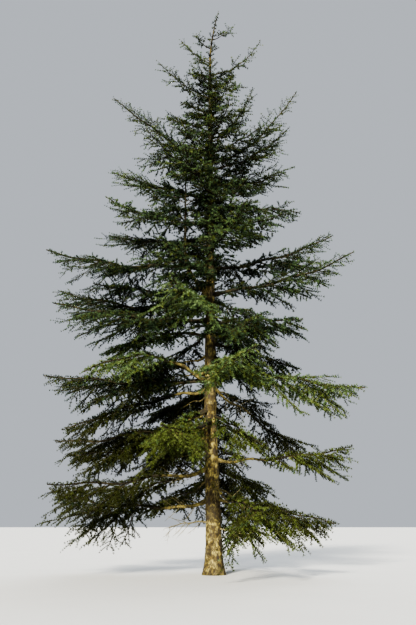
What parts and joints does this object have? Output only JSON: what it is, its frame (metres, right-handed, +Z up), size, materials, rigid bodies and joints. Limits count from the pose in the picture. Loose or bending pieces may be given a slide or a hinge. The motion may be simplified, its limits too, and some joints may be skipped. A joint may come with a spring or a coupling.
{
  "type": "atlas cedar tree",
  "caption": "Whole evergreen conifer with a tapering trunk, tiered spreading limbs, bare low boughs and masses of needle sprays.",
  "frame": {"origin": "centre of the flat cut under the trunk, at ground level", "axes": "+Z up along the trunk, -Y towards the side that the picture shows, +X to its right"},
  "size_m": [10.6791, 9.6479, 20],
  "materials": {
    "bark": "rough plated bark, yellow-olive with lichen where the light reaches it",
    "dead_wood": "bare weathered wood",
    "needles": "dark green needles in sprays"
  },
  "bodies": {
    "root": {"bough_back_07": "bark", "bough_front_08": "bark", "bough_left_14": "bark", "bough_left_17": "bark", "bough_left_18": "bark", "bough_right_14": "bark", "bough_right_15": "bark", "bough_right_16": "bark", "dead_limb_left_01": "dead_wood", "dead_limb_right_01": "dead_wood", "foliage_back_01": "needles", "foliage_back_02": "needles", "foliage_back_03": "needles", "foliage_back_04": "needles", "foliage_back_05": "needles", "foliage_back_06": "needles", "foliage_back_07": "needles", "foliage_front_01": "needles", "foliage_front_02": "needles", "foliage_front_03": "needles", "foliage_front_04": "needles", "foliage_front_05": "needles", "foliage_front_06": "needles", "foliage_front_07": "needles", "foliage_front_08": "needles", "foliage_left_01": "needles", "foliage_left_02": "needles", "foliage_left_03": "needles", "foliage_left_04": "needles", "foliage_left_05": "needles", "foliage_left_06": "needles", "foliage_left_07": "needles", "foliage_left_08": "needles", "foliage_left_09": "needles", "foliage_left_10": "needles", "foliage_left_11": "needles", "foliage_left_12": "needles", "foliage_left_13": "needles", "foliage_left_14": "needles", "foliage_left_15": "needles", "foliage_left_16": "needles", "foliage_left_17": "needles", "foliage_left_18": "needles", "foliage_right_01": "needles", "foliage_right_02": "needles", "foliage_right_03": "needles", "foliage_right_04": "needles", "foliage_right_05": "needles", "foliage_right_06": "needles", "foliage_right_07": "needles", "foliage_right_08": "needles", "foliage_right_09": "needles", "foliage_right_10": "needles", "foliage_right_11": "needles", "foliage_right_12": "needles", "foliage_right_13": "needles", "foliage_right_14": "needles", "foliage_right_15": "needles", "foliage_right_16": "needles", "trunk": "bark"}
  },
  "joints": []
}
